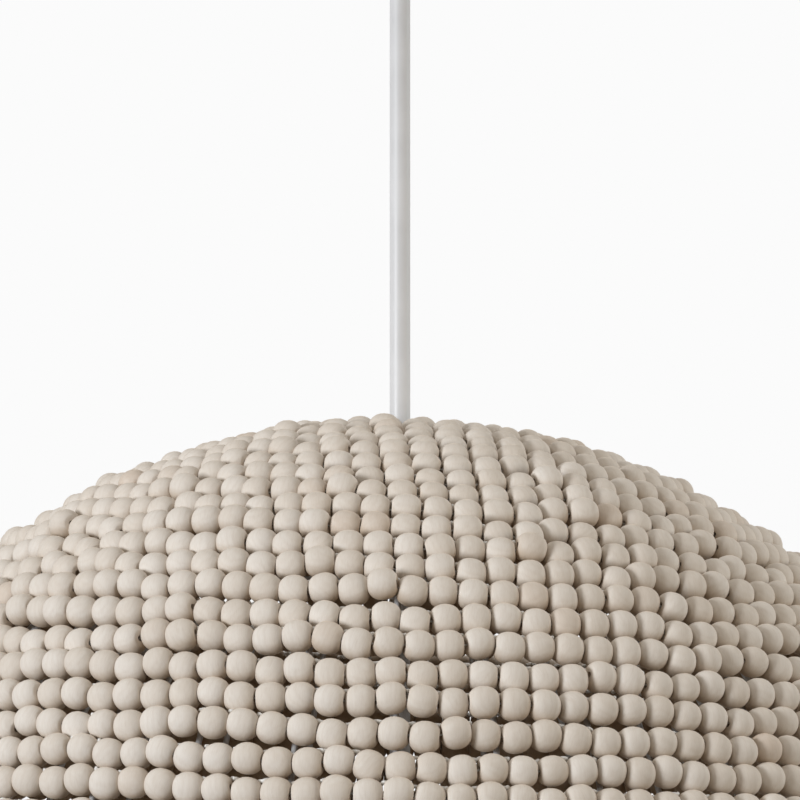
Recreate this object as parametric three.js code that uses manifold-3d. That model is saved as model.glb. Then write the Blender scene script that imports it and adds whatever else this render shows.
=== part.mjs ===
// Beaded chandelier: a dome of wooden beads, strung in level rows on a welded wire frame.
// It hangs by a straight white stem from a swivel under a round ceiling canopy.
// Inside the dome the stem carries a cluster of three lamp holders with their bulbs.
// All lengths are in millimetres and +Z points up.
// The origin is on the ceiling, at the middle of the bracket's upper face.

import * as THREE from "three";
import { mergeVertices } from "three/addons/utils/BufferGeometryUtils.js";
import Module from "manifold-3d";

const wasm = await Module();
wasm.setup();

// Clearances
const seatGap = 0.3;
const cutOverrun = 1;

// Bead strands: each is one closed row of beads around the dome
const beadDiameter = 15;
const beadPitch = 14.05;
const domeRadius = 317.5;
const domeTopDrop = 300;
const strandCount = 29;
const strandsWithPlainestBack = 6;
const firstStrandAngle = 4.6;
const lastStrandAngle = 89.44;

// The columns of beads lean: each strand is this much further round than the one above it
const columnDrift = 1.3;

// Section of a strand as shares of the bead's radius: outward from the dome's centre, then up.
// Every bead has a crest, and the dips between two beads have an upper and a lower end.
const crestShares = [1, 0];
const upperDipShares = [0.4, 0.92];
const lowerDipShares = [0.4, -0.92];
const backShares = [-1, 0];

// Wire frame: main ribs run from the hub to the rim, the others start at the upper hoop
const wireDiameter = 3;
const wireSquareShare = 0.886;
const ribCount = 36;
const ribsPerMainRib = 3;
const strandsPerBend = 3;
const bendsWithHoop = [4, 8];
const firstBendWithAllRibs = 4;
const rimAngle = 91;
const hubPlateRadius = 26;
const hubPlateThickness = 2.5;

// Stem and the parts that clamp the frame to it
const stemRadius = 5;
const stemBoreRadius = 3.6;
const hubWasherRadius = 12;
const hubWasherThickness = 1.5;
const hubNutFlats = 16;
const hubNutHeight = 6;
const cableRadius = 3.2;

// Ceiling canopy, a turned dish with a closed wall
const canopyRadius = 60;
const canopyHeight = 34;
const canopyWall = 1.5;
const canopyCornerRadius = 16;
const canopyNutFlats = 18;
const canopyNutHeight = 4;
const canopyRoundSteps = 2;

// Ceiling bracket, a strap with two ends bent down
const bracketWidth = 22;
const bracketEndWidthShare = 0.6;
const bracketThickness = 2.5;
const bracketEndDrop = 14;
const bracketSlotWidth = 5;
const bracketSlotLength = 14;
const bracketSlotCentreShare = 0.5;
const bracketBossRadius = 9;
const bracketBossHeight = 8;
const canopyScrewDropShare = 0.6;
const canopyScrewRadius = 2;
const canopyScrewLength = 7;
const canopyScrewHeadRadius = 4.5;
const canopyScrewHeadLength = 6;

// Terminal block inside the canopy
const terminalLength = 24;
const terminalWidth = 10;
const terminalHeight = 12;

// Swivel: a yoke turns on the nipple, and a knuckle tilts between its cheeks
const nippleFlangeRadius = 7.5;
const nippleFlangeHeight = 2;
const yokeRadius = 13;
const yokeDiscHeight = 6;
const yokeRunningGap = 0.5;
const cheekThickness = 3;
const cheekHalfWidth = 6.5;
const knuckleHeadRadius = 7;
const knuckleTopClearance = 1;
const knuckleSocketDrop = 14;
const knuckleSocketDepth = 12;
const pivotScrewRadius = 2;
const pivotScrewReach = 2.4;
const pivotScrewHeadRadius = 3.6;
const pivotScrewHeadLength = 2.2;
const cableEndInset = 0.7;

// Lamp cluster
const clusterDrop = 188;
const clusterRadius = 20;
const clusterHeight = 34;
const clusterSeatShare = 0.25;
const lampCount = 3;
const firstLampTurn = 30;
const lampSplay = 60;
const lampBossRadius = 11;
const lampBossReach = 34;

// Lamp holder and bulb, measured along the lamp's own axis
const holderRadius = 20;
const holderNeckRadius = 12;
const holderNeckLength = 8;
const holderShoulderLength = 6;
const holderLength = 50;
const holderFloor = 22;
const holderRingWall = 3;
const holderRingLength = 9;
const bulbCapRadius = 13;
const bulbCapTipRadius = 5;
const bulbCapTipLength = 4;
const bulbNeckRadius = 13.5;
const bulbRadius = 30;
const bulbGlassLength = 82;
const bulbNeckAngle = 35;
const bulbRoundSteps = 5;

// Worked out from the sizes above
const beadRadius = beadDiameter / 2;
const wireRadius = wireDiameter / 2;
const domeCentre = -(domeTopDrop + domeRadius + beadRadius);
const wireHalfWidth = wireRadius * wireSquareShare;
const ribRadius = domeRadius - beadRadius - seatGap - wireHalfWidth;
const strandStep = (lastStrandAngle - firstStrandAngle) / (strandCount - 1);
const hubPlateTop = domeCentre + ribRadius;
const hubPlateBottom = hubPlateTop - hubPlateThickness;
const nippleRadius = stemRadius;
const canopyBottom = -canopyHeight;
const canopyNutTop = canopyBottom - seatGap;
const bracketSlotCentre = canopyRadius * bracketSlotCentreShare;
const canopyScrewHeight = -bracketEndDrop * canopyScrewDropShare;
const yokeTop = canopyNutTop - canopyNutHeight - yokeRunningGap;
const yokeDiscBottom = yokeTop - yokeDiscHeight;
const nippleBottom = yokeDiscBottom - seatGap - nippleFlangeHeight;
const pivotHeight = nippleBottom - knuckleTopClearance - knuckleHeadRadius;
const knuckleHalfWidth = yokeRadius - cheekThickness - seatGap;
const knuckleBottom = pivotHeight - knuckleSocketDrop - knuckleSocketDepth;
const stemTop = pivotHeight - knuckleSocketDrop - seatGap;
const clusterCentre = hubPlateTop - clusterDrop;
const clusterSeat = clusterHeight * clusterSeatShare;
const stemBottom = clusterCentre + clusterSeat;
const holderStart = lampBossReach + seatGap;
const holderFloorAt = holderStart + holderFloor;
const holderMouthAt = holderStart + holderLength;

const beadWood = { color: 0xd3c8b9, roughness: 0.62, metalness: 0 };
const whiteCoat = { color: 0xe9e9e7, roughness: 0.4, metalness: 0.1 };
const zincSteel = { color: 0xb9bcc0, roughness: 0.35, metalness: 0.9 };
const whitePlastic = { color: 0xe4e3de, roughness: 0.45, metalness: 0 };
const nickelCap = { color: 0xc9c7c0, roughness: 0.3, metalness: 0.95 };
const opalGlass = { color: 0xf6f1e6, roughness: 0.25, metalness: 0 };
const whiteSheath = { color: 0xe2e2e0, roughness: 0.5, metalness: 0 };

function radians(degrees) {
  return (degrees * Math.PI) / 180;
}

function piece(name, geometry, finish) {
  const mesh = new THREE.Mesh(geometry, new THREE.MeshStandardMaterial(finish));
  mesh.name = name;
  return mesh;
}

// A solid of revolution about Z. The outline is (radius, height) points, anticlockwise.
function turned(outline, segments) {
  const points = outline.map(([radius, height]) => new THREE.Vector2(radius, height));
  return new THREE.LatheGeometry(points, segments).rotateX(Math.PI / 2);
}

function turnedTube(inner, outer, low, high, segments) {
  const outline = [[inner, low], [outer, low], [outer, high], [inner, high], [inner, low]];
  return turned(outline, segments);
}

function turnedRod(radius, low, high, segments) {
  return turned([[0, low], [radius, low], [radius, high], [0, high]], segments);
}

function hexNut(acrossFlats, boreRadius, low, height) {
  const cornerRadius = acrossFlats / Math.sqrt(3);
  const shape = new THREE.Shape();
  for (let corner = 0; corner < 6; corner += 1) {
    const turn = radians(60 * corner);
    const point = [cornerRadius * Math.cos(turn), cornerRadius * Math.sin(turn)];
    if (corner === 0) shape.moveTo(...point);
    else shape.lineTo(...point);
  }
  shape.closePath();
  const hole = new THREE.Path().absarc(0, 0, boreRadius, 0, 2 * Math.PI, true);
  shape.holes.push(hole);
  const options = { depth: height, bevelEnabled: false, curveSegments: 12 };
  return new THREE.ExtrudeGeometry(shape, options).translate(0, 0, low);
}

function box(sizeX, sizeY, low, high) {
  const middle = (low + high) / 2;
  return new THREE.BoxGeometry(sizeX, sizeY, high - low).translate(0, 0, middle);
}

// Joining and cutting
function solid(geometry) {
  const bare = geometry.clone();
  bare.deleteAttribute("normal");
  bare.deleteAttribute("uv");
  const merged = mergeVertices(bare, seatGap / 1000);
  const mesh = new wasm.Mesh({
    numProp: 3,
    vertProperties: new Float32Array(merged.attributes.position.array),
    triVerts: new Uint32Array(merged.index.array),
  });
  return new wasm.Manifold(mesh);
}

function geometryOf(manifold) {
  const mesh = manifold.getMesh();
  const geometry = new THREE.BufferGeometry();
  geometry.setAttribute("position", new THREE.BufferAttribute(mesh.vertProperties, 3));
  geometry.setIndex(new THREE.BufferAttribute(mesh.triVerts, 1));
  geometry.computeVertexNormals();
  return geometry;
}

function joined(geometries) {
  return geometries.map(solid).reduce((whole, next) => whole.add(next));
}

function cut(whole, geometries) {
  return geometries.map(solid).reduce((left, tool) => left.subtract(tool), whole);
}

// Bead strands
function strandAngle(index) {
  return firstStrandAngle + strandStep * index;
}

// Points round a strand at one place in its section
function strandLine(polar, start, count, [outwardShare, upShare], stretch = 1) {
  const distance = domeRadius + beadRadius * outwardShare;
  const rise = beadRadius * upShare;
  const around = (distance * Math.sin(polar) - rise * Math.cos(polar)) * stretch;
  const height = distance * Math.cos(polar) + rise * Math.sin(polar);
  const line = [];
  for (let step = 0; step < count; step += 1) {
    const turn = start + (2 * Math.PI * step) / count;
    line.push([around * Math.cos(turn), around * Math.sin(turn), height]);
  }
  return line;
}

// The plain line at the back of a strand, whose straight lengths never reach into a rib.
// Its corners are in front of the main ribs above, and between the ribs where all of them run.
function backLine(index, polar) {
  const mainRibs = ribCount / ribsPerMainRib;
  if (index < strandsWithPlainestBack) return strandLine(polar, 0, mainRibs, backShares);
  if (index < strandsPerBend * firstBendWithAllRibs) {
    return strandLine(polar, 0, 2 * mainRibs, backShares);
  }
  const ribTurn = (2 * Math.PI) / ribCount;
  const stretch = Math.cos(ribTurn / 2) / Math.cos(ribTurn);
  return strandLine(polar, ribTurn / 2, ribCount / 2, backShares, stretch);
}

// Triangles between two closed lines that run the same way round.
// A line is the index of its first point and its number of points.
function bandBetween([firstStart, firstCount], [secondStart, secondCount]) {
  const triangles = [];
  let first = 0;
  let second = 0;
  while (first < firstCount || second < secondCount) {
    const here = firstStart + (first % firstCount);
    const there = secondStart + (second % secondCount);
    if ((first + 0.5) * secondCount <= (second + 0.5) * firstCount) {
      first += 1;
      triangles.push(here, firstStart + (first % firstCount), there);
    } else {
      second += 1;
      triangles.push(here, secondStart + (second % secondCount), there);
    }
  }
  return triangles;
}

function strandRing(index) {
  const polar = radians(strandAngle(index));
  const around = domeRadius * Math.sin(polar);
  const beads = Math.round((2 * Math.PI * around) / beadPitch);
  const beadTurn = (2 * Math.PI) / beads;
  const frontBead = (columnDrift * (index - strandCount)) / around - Math.PI / 2;
  const firstBead = THREE.MathUtils.euclideanModulo(frontBead, beadTurn);
  const firstDip = firstBead + beadTurn / 2;
  const back = backLine(index, polar);
  const points = [
    ...strandLine(polar, firstBead, beads, crestShares),
    ...strandLine(polar, firstDip, beads, upperDipShares),
    ...strandLine(polar, firstDip, beads, lowerDipShares),
    ...back,
  ];

  const triangles = [];
  for (let bead = 0; bead < beads; bead += 1) {
    const before = (bead + beads - 1) % beads;
    const [upperBefore, upper] = [beads + before, beads + bead];
    const [lowerBefore, lower] = [2 * beads + before, 2 * beads + bead];
    triangles.push(bead, upper, upperBefore);
    triangles.push(bead, lower, upper);
    triangles.push(bead, lowerBefore, lower);
    triangles.push(bead, upperBefore, lowerBefore);
  }
  const backEnds = [3 * beads, back.length];
  triangles.push(...bandBetween([beads, beads], backEnds));
  triangles.push(...bandBetween(backEnds, [2 * beads, beads]));

  const geometry = new THREE.BufferGeometry();
  geometry.setAttribute("position", new THREE.Float32BufferAttribute(points.flat(), 3));
  geometry.setIndex(triangles);
  geometry.computeVertexNormals();
  return geometry;
}

function makeStrands() {
  const strands = new THREE.Group();
  for (let index = 0; index < strandCount; index += 1) {
    const number = String(index + 1).padStart(2, "0");
    strands.add(piece(`bead_strand_${number}`, strandRing(index), beadWood));
  }
  strands.position.z = domeCentre;
  return strands;
}

// Wire frame: a lattice of ribs and hoops on the sphere just inside the strands.
// A rib bends between two strands, so its straight lengths lie close behind the rows.
function frameLevels() {
  const bendRadius = ribRadius * Math.cos(radians(strandStep))
    / Math.cos(radians((strandStep * strandsPerBend) / 2));
  const halfTurn = (wireHalfWidth / bendRadius) * (180 / Math.PI);
  const hubStart = Math.asin((hubPlateRadius - wireDiameter) / ribRadius) * (180 / Math.PI);
  const levels = [{ polar: hubStart, radius: ribRadius, bend: 0 }];
  const addHoop = (polar, radius, bend) => {
    levels.push({ polar: polar - halfTurn, radius, bend, hoopBelow: true });
    levels.push({ polar: polar + halfTurn, radius, bend });
  };
  for (let bend = 1; bend * strandsPerBend < strandCount; bend += 1) {
    const polar = strandAngle(bend * strandsPerBend - 0.5);
    if (bendsWithHoop.includes(bend)) addHoop(polar, bendRadius, bend);
    else levels.push({ polar, radius: bendRadius, bend });
  }
  addHoop(rimAngle, ribRadius, Infinity);
  return levels;
}

function latticeGeometry(levels) {
  const sides = 2 * ribCount;
  const positions = [];
  const triangles = [];
  const known = new Map();

  const isSolid = (band, column) => {
    if (band < 0 || band >= levels.length - 1) return false;
    if (levels[band].hoopBelow) return true;
    if (column % 2 === 1) return false;
    const isMain = (column / 2) % ribsPerMainRib === 0;
    return isMain || levels[band].bend >= firstBendWithAllRibs;
  };
  const corner = (level, side, layer) => {
    const key = `${level} ${side % sides} ${layer}`;
    if (!known.has(key)) {
      const polar = radians(levels[level].polar);
      const around = levels[level].radius * Math.sin(polar);
      const halfWidth = Math.asin(wireHalfWidth / around) * (side % 2 === 0 ? -1 : 1);
      const turn = radians((360 * Math.floor(side / 2)) / ribCount) + halfWidth;
      const distance = levels[level].radius + wireHalfWidth * layer;
      known.set(key, positions.length / 3);
      positions.push(
        distance * Math.sin(polar) * Math.cos(turn),
        distance * Math.sin(polar) * Math.sin(turn),
        distance * Math.cos(polar),
      );
    }
    return known.get(key);
  };
  const quad = (first, second, third, fourth) => {
    triangles.push(first, second, third, first, third, fourth);
  };

  for (let band = 0; band < levels.length - 1; band += 1) {
    for (let column = 0; column < sides; column += 1) {
      if (!isSolid(band, column)) continue;
      const [high, low, left, right] = [band, band + 1, column, column + 1];
      const outer = (level, side) => corner(level, side, 1);
      const inner = (level, side) => corner(level, side, -1);
      const wall = (levelA, sideA, levelB, sideB) => {
        quad(outer(levelA, sideA), outer(levelB, sideB), inner(levelB, sideB), inner(levelA, sideA));
      };
      quad(outer(high, left), outer(low, left), outer(low, right), outer(high, right));
      quad(inner(high, left), inner(high, right), inner(low, right), inner(low, left));
      if (!isSolid(band - 1, column)) wall(high, left, high, right);
      if (!isSolid(band + 1, column)) wall(low, right, low, left);
      if (!isSolid(band, (column + sides - 1) % sides)) wall(low, left, high, left);
      if (!isSolid(band, (column + 1) % sides)) wall(high, right, low, right);
    }
  }
  const geometry = new THREE.BufferGeometry();
  geometry.setAttribute("position", new THREE.Float32BufferAttribute(positions, 3));
  geometry.setIndex(triangles);
  return geometry;
}

function makeWireFrame() {
  const hole = stemRadius + seatGap;
  const plate = turnedTube(hole, hubPlateRadius, ribRadius - hubPlateThickness, ribRadius, 16);
  const lattice = latticeGeometry(frameLevels());
  const frame = piece("wire_frame", geometryOf(joined([lattice, plate])), whiteCoat);
  frame.position.z = domeCentre;
  return frame;
}

// Stem, its cable and the parts that clamp the frame
function makeStem() {
  const stem = new THREE.Group();
  const tube = turnedTube(stemBoreRadius, stemRadius, stemBottom, stemTop, 16);
  stem.add(piece("stem_tube", tube, whiteCoat));

  const cableTop = pivotHeight + knuckleHeadRadius - cableEndInset;
  const cableBottom = clusterCentre - clusterSeat;
  stem.add(piece("stem_cable", turnedRod(cableRadius, cableBottom, cableTop, 10), whiteSheath));

  const bore = stemRadius + seatGap;
  const washerBottom = hubPlateTop + seatGap;
  const washerTop = washerBottom + hubWasherThickness;
  const washer = turnedTube(bore, hubWasherRadius, washerBottom, washerTop, 20);
  stem.add(piece("hub_washer", washer, whiteCoat));
  const upperNut = hexNut(hubNutFlats, bore, washerTop + seatGap, hubNutHeight);
  stem.add(piece("hub_nut_upper", upperNut, whiteCoat));
  const lowerNut = hexNut(hubNutFlats, bore, hubPlateBottom - seatGap - hubNutHeight, hubNutHeight);
  stem.add(piece("hub_nut_lower", lowerNut, zincSteel));
  return stem;
}

// Swivel
function cheekShape(halfWidth, top) {
  const shape = new THREE.Shape();
  shape.moveTo(halfWidth, 0);
  shape.lineTo(halfWidth, top);
  shape.lineTo(-halfWidth, top);
  shape.lineTo(-halfWidth, 0);
  shape.absarc(0, 0, halfWidth, Math.PI, 2 * Math.PI, false);
  return shape;
}

// Extrudes a shape drawn in (Y, Z) along X, from the plane x = start
function alongX(shape, start, length) {
  const options = { depth: length, bevelEnabled: false, curveSegments: 8 };
  const solidShape = new THREE.ExtrudeGeometry(shape, options);
  return solidShape.rotateX(Math.PI / 2).rotateZ(Math.PI / 2).translate(start, 0, 0);
}

function crossPin(radius, start, end, sides = 10) {
  return turnedRod(radius, start, end, sides).rotateY(Math.PI / 2);
}

function makeYoke() {
  const discLow = yokeDiscBottom - pivotHeight;
  const discHigh = yokeTop - pivotHeight;
  const cheek = cheekShape(cheekHalfWidth, discLow + yokeDiscHeight / 2);
  const body = joined([
    turnedRod(yokeRadius, discLow, discHigh, 20),
    alongX(cheek, yokeRadius - cheekThickness, cheekThickness),
    alongX(cheek, -yokeRadius, cheekThickness),
  ]);
  const pinHole = pivotScrewRadius + seatGap;
  const reach = yokeRadius + cutOverrun;
  const tools = [
    turnedRod(nippleRadius + seatGap, discLow - cutOverrun, discHigh + cutOverrun, 16),
    crossPin(pinHole, -reach, reach),
  ];
  const yoke = piece("swivel_yoke", geometryOf(cut(body, tools)), whiteCoat);
  yoke.position.z = pivotHeight;
  return yoke;
}

function makePivotScrew(name, side) {
  const tip = knuckleHalfWidth - pivotScrewReach;
  const seat = yokeRadius + seatGap;
  const end = seat + pivotScrewHeadLength;
  const outline = [
    [0, tip], [pivotScrewRadius, tip], [pivotScrewRadius, seat],
    [pivotScrewHeadRadius, seat], [pivotScrewHeadRadius, end], [0, end],
  ];
  const screw = piece(name, turned(outline, 10).rotateY((side * Math.PI) / 2), zincSteel);
  screw.position.z = pivotHeight;
  return screw;
}

function makeKnuckle() {
  const bottom = knuckleBottom - pivotHeight;
  const collarTop = -(knuckleHeadRadius + knuckleSocketDrop) / 2;
  const head = cheekShape(knuckleHeadRadius, seatGap - collarTop);
  const body = joined([
    alongX(head, -knuckleHalfWidth, 2 * knuckleHalfWidth).rotateX(Math.PI),
    turnedRod(knuckleHalfWidth, bottom, collarTop, 20),
  ]);
  const screwHole = pivotScrewRadius + seatGap;
  const reach = knuckleHalfWidth + cutOverrun;
  const tools = [
    turnedRod(stemRadius + seatGap, bottom - cutOverrun, -knuckleSocketDrop, 16),
    turnedRod(stemBoreRadius, -knuckleSocketDrop - cutOverrun, knuckleHeadRadius + cutOverrun, 16),
    crossPin(screwHole, -reach, reach),
  ];
  const knuckle = piece("swivel_knuckle", geometryOf(cut(body, tools)), whiteCoat);
  knuckle.position.z = pivotHeight;
  return knuckle;
}

// Ceiling fitting
function canopyOutline() {
  const outer = [];
  const inner = [];
  for (let step = 0; step <= canopyRoundSteps; step += 1) {
    const turn = (Math.PI / 2) * (step / canopyRoundSteps);
    const centreRadius = canopyRadius - canopyCornerRadius;
    const centreHeight = canopyBottom + canopyCornerRadius;
    const innerCorner = canopyCornerRadius - canopyWall;
    const across = Math.sin(turn);
    const down = Math.cos(turn);
    outer.push([centreRadius + canopyCornerRadius * across, centreHeight - canopyCornerRadius * down]);
    inner.unshift([centreRadius + innerCorner * across, centreHeight - innerCorner * down]);
  }
  const hole = nippleRadius + seatGap;
  return [
    [hole, canopyBottom], ...outer, [canopyRadius, 0], [canopyRadius - canopyWall, 0],
    ...inner, [hole, canopyBottom + canopyWall], [hole, canopyBottom],
  ];
}

function makeCanopy() {
  const reach = canopyRadius + cutOverrun;
  const screwHoles = crossPin(canopyScrewRadius + seatGap, -reach, reach, 10);
  screwHoles.translate(0, 0, canopyScrewHeight);
  const body = cut(solid(turned(canopyOutline(), 22)), [screwHoles]);
  return piece("canopy", geometryOf(body), whiteCoat);
}

function makeBracket() {
  const halfLength = canopyRadius - canopyWall - seatGap - bracketThickness / 2;
  const end = box(bracketThickness, bracketWidth * bracketEndWidthShare, -bracketEndDrop, 0);
  const endShift = halfLength - bracketThickness / 2;
  const body = joined([
    box(2 * halfLength, bracketWidth, -bracketThickness, 0),
    end.clone().translate(endShift, 0, 0),
    end.clone().translate(-endShift, 0, 0),
    turnedRod(bracketBossRadius, -bracketThickness - bracketBossHeight, -bracketThickness / 2, 20),
  ]);
  const slot = box(bracketSlotLength, bracketSlotWidth, -bracketThickness - cutOverrun, cutOverrun);
  const boreTop = -bracketThickness - seatGap;
  const boreBottom = -bracketThickness - bracketBossHeight - cutOverrun;
  const reach = halfLength + cutOverrun;
  const tools = [
    slot.clone().translate(bracketSlotCentre, 0, 0),
    slot.clone().translate(-bracketSlotCentre, 0, 0),
    turnedRod(nippleRadius + seatGap, boreBottom, boreTop, 16),
    crossPin(canopyScrewRadius + seatGap, endShift - bracketThickness, reach, 10)
      .translate(0, 0, canopyScrewHeight),
    crossPin(canopyScrewRadius + seatGap, -reach, bracketThickness - endShift, 10)
      .translate(0, 0, canopyScrewHeight),
  ];
  return piece("ceiling_bracket", geometryOf(cut(body, tools)), zincSteel);
}

function makeCanopyScrew(name, side) {
  const seat = canopyRadius + seatGap;
  const end = seat + canopyScrewHeadLength;
  const tip = seat - canopyScrewLength;
  const outline = [
    [0, tip], [canopyScrewRadius, tip], [canopyScrewRadius, seat],
    [canopyScrewHeadRadius, seat], [canopyScrewHeadRadius, end], [0, end],
  ];
  const screw = piece(name, turned(outline, 10).rotateY((side * Math.PI) / 2), whiteCoat);
  screw.position.z = canopyScrewHeight;
  return screw;
}

function makeNipple() {
  const top = -bracketThickness - 2 * seatGap;
  const flangeTop = nippleBottom + nippleFlangeHeight;
  const outline = [
    [stemBoreRadius, nippleBottom], [nippleFlangeRadius, nippleBottom],
    [nippleFlangeRadius, flangeTop], [nippleRadius, flangeTop],
    [nippleRadius, top], [stemBoreRadius, top], [stemBoreRadius, nippleBottom],
  ];
  return piece("ceiling_nipple", turned(outline, 12), zincSteel);
}

function makeCeilingFitting() {
  const fitting = new THREE.Group();
  fitting.add(makeBracket());
  fitting.add(makeNipple());
  fitting.add(makeCanopy());
  fitting.add(makeCanopyScrew("canopy_screw_left", -1));
  fitting.add(makeCanopyScrew("canopy_screw_right", 1));
  const nutLow = canopyNutTop - canopyNutHeight;
  const nut = hexNut(canopyNutFlats, nippleRadius + seatGap, nutLow, canopyNutHeight);
  fitting.add(piece("canopy_nut", nut, whiteCoat));

  const leadTop = -bracketThickness - bracketBossHeight / 2;
  fitting.add(piece("ceiling_cable", turnedRod(cableRadius, nippleBottom, leadTop, 10), whiteSheath));

  const terminalTop = -bracketThickness - seatGap;
  const terminal = box(terminalLength, terminalWidth, terminalTop - terminalHeight, terminalTop);
  terminal.translate(bracketSlotCentre, 0, 0);
  fitting.add(piece("terminal_block", terminal, whitePlastic));
  return fitting;
}

// Lamp cluster
function lampTurn(index) {
  return radians(firstLampTurn + (360 * index) / lampCount);
}

// Turns a solid made along +Z so that it lies along the lamp's own axis
function alongLamp(geometry, index) {
  return geometry.rotateY(Math.PI - radians(lampSplay)).rotateZ(lampTurn(index));
}

function makeCluster() {
  const parts = [turnedRod(clusterRadius, -clusterHeight / 2, clusterHeight / 2, 20)];
  for (let index = 0; index < lampCount; index += 1) {
    parts.push(alongLamp(turnedRod(lampBossRadius, 0, lampBossReach, 12), index));
  }
  const stemSeat = clusterSeat - seatGap;
  const cableEnd = -clusterSeat - seatGap;
  const over = clusterHeight / 2 + cutOverrun;
  const tools = [
    turnedRod(stemRadius + seatGap, stemSeat, over, 16),
    turnedRod(stemBoreRadius, cableEnd, stemSeat + seatGap, 16),
  ];
  const cluster = piece("cluster_body", geometryOf(cut(joined(parts), tools)), whiteCoat);
  cluster.position.z = clusterCentre;
  return cluster;
}

function holderOutline() {
  const cavity = bulbCapRadius + seatGap * 2;
  const shoulderAt = holderStart + holderNeckLength + holderShoulderLength;
  return [
    [0, holderStart], [holderNeckRadius, holderStart],
    [holderNeckRadius, holderStart + holderNeckLength], [holderRadius, shoulderAt],
    [holderRadius, holderMouthAt], [cavity, holderMouthAt],
    [cavity, holderFloorAt], [0, holderFloorAt],
  ];
}

function bulbCapOutline() {
  const tip = holderFloorAt + seatGap;
  const shoulder = tip + bulbCapTipLength;
  const end = holderMouthAt - seatGap;
  return [
    [0, tip], [bulbCapTipRadius, tip], [bulbCapRadius, shoulder],
    [bulbCapRadius, end], [0, end],
  ];
}

// The glass swells from the neck into a round end
function bulbGlassOutline() {
  const start = holderMouthAt;
  const roundCentre = start + bulbGlassLength - bulbRadius;
  const outline = [[0, start], [bulbNeckRadius, start]];
  for (let step = 0; step <= bulbRoundSteps; step += 1) {
    const turn = radians(((90 + bulbNeckAngle) * step) / bulbRoundSteps - bulbNeckAngle);
    const radius = step === bulbRoundSteps ? 0 : bulbRadius * Math.cos(turn);
    outline.push([radius, roundCentre + bulbRadius * Math.sin(turn)]);
  }
  return outline;
}

function makeLamp(index) {
  const lamp = new THREE.Group();
  const name = (part) => `${part}_${index + 1}`;
  const ringInner = holderRadius + seatGap * 2;
  const ringHigh = holderMouthAt - holderRingLength;
  const ringLow = ringHigh - holderRingLength;
  const ring = turnedTube(ringInner, ringInner + holderRingWall, ringLow, ringHigh, 12);
  lamp.add(piece(name("lamp_holder"), turned(holderOutline(), 12), whitePlastic));
  lamp.add(piece(name("holder_ring"), ring, whitePlastic));
  lamp.add(piece(name("bulb_cap"), turned(bulbCapOutline(), 10), nickelCap));
  lamp.add(piece(name("bulb_glass"), turned(bulbGlassOutline(), 12), opalGlass));
  for (const part of lamp.children) alongLamp(part.geometry, index);
  lamp.position.z = clusterCentre;
  return lamp;
}

const hanging = new THREE.Group();
hanging.add(makeKnuckle(), makeStem(), makeStrands(), makeWireFrame());
hanging.add(makeCluster());
for (let index = 0; index < lampCount; index += 1) hanging.add(makeLamp(index));

const swivel = new THREE.Group();
swivel.add(makeYoke());
swivel.add(makePivotScrew("pivot_screw_left", -1), makePivotScrew("pivot_screw_right", 1));

const group = new THREE.Group();
group.add(makeCeilingFitting(), swivel, hanging);

export default group;
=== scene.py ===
import math

import bmesh
import bpy
import numpy as np
from mathutils import Matrix, Vector
from mathutils.kdtree import KDTree


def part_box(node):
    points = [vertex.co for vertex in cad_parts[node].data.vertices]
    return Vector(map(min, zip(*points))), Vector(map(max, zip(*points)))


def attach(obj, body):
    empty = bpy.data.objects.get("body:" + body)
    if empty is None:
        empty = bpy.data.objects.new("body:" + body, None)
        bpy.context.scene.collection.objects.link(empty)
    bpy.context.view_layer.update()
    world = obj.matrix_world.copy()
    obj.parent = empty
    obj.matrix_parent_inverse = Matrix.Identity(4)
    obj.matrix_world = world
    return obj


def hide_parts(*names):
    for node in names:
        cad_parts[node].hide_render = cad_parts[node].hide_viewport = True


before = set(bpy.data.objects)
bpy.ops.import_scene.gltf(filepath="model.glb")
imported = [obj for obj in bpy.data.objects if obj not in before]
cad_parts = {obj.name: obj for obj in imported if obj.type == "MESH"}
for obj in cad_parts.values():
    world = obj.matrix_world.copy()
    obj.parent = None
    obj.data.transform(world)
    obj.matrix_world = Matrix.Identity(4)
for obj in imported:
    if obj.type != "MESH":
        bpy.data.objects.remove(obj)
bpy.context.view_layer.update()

# A beaded dome light in metres, dressed over its frame: turned wooden beads on threads,
# a welded white wire frame, and smooth fittings in place of the faceted ones.
draw = np.random.default_rng(11)
MM = 0.001

# Dome
DOME_CENTRE = -625 * MM
DOME_MIDDLE = np.array([0, 0, DOME_CENTRE])
DOME_OUTER_RADIUS = 325 * MM
FRONT = -math.pi / 2
LEAN = math.radians(0.78)

# Beads: how full their side is, and which share of their length the side and the bore take
BEAD_DIAMETER = 15.2 * MM
BEAD_LENGTH = 13.7 * MM
BEAD_SWELL = 7.61 * MM
BEAD_SQUARENESS = 2.3
SIDE_SHARE = 0.985
BORE_SHARE = 0.97
BEAD_BORE = 1.45 * MM
BEAD_FACE = 3.7 * MM
BEAD_SIDES = 24
BEAD_RINGS = 11
BEAD_RADIUS = BEAD_DIAMETER / 2
BEAD_CENTRES = DOME_OUTER_RADIUS - BEAD_RADIUS

# How unevenly the beads lie: rows and beads shift along the dome and bulge outward, and beads tilt
ROW_WOBBLE = 1.0 * MM
ROW_BULGE = 1.2 * MM
BEAD_SHIFT = 1.0 * MM
BEAD_BULGE = 1.0 * MM
BEAD_TILT = math.radians(5.5)
STRAND_SHIFT = 0.6 * MM

# They shift more at the dome's sides, less so on the left, and not near the rim
SIDE_SHIFT = 3.0 * MM
LEFT_LOOSENESS = 0.5
LOOSE_END = math.radians(64)
LOOSE_FADE = math.radians(22)

# Only a share of this is left past BACK_EDGE, an angle from the front, and at the top
BACK_EDGE = math.radians(120)
BACK_FADE = 4
BACK_CALM = 0.15
TOP_CALM = 0.3
TOP_ENDS = math.radians(34)

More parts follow.
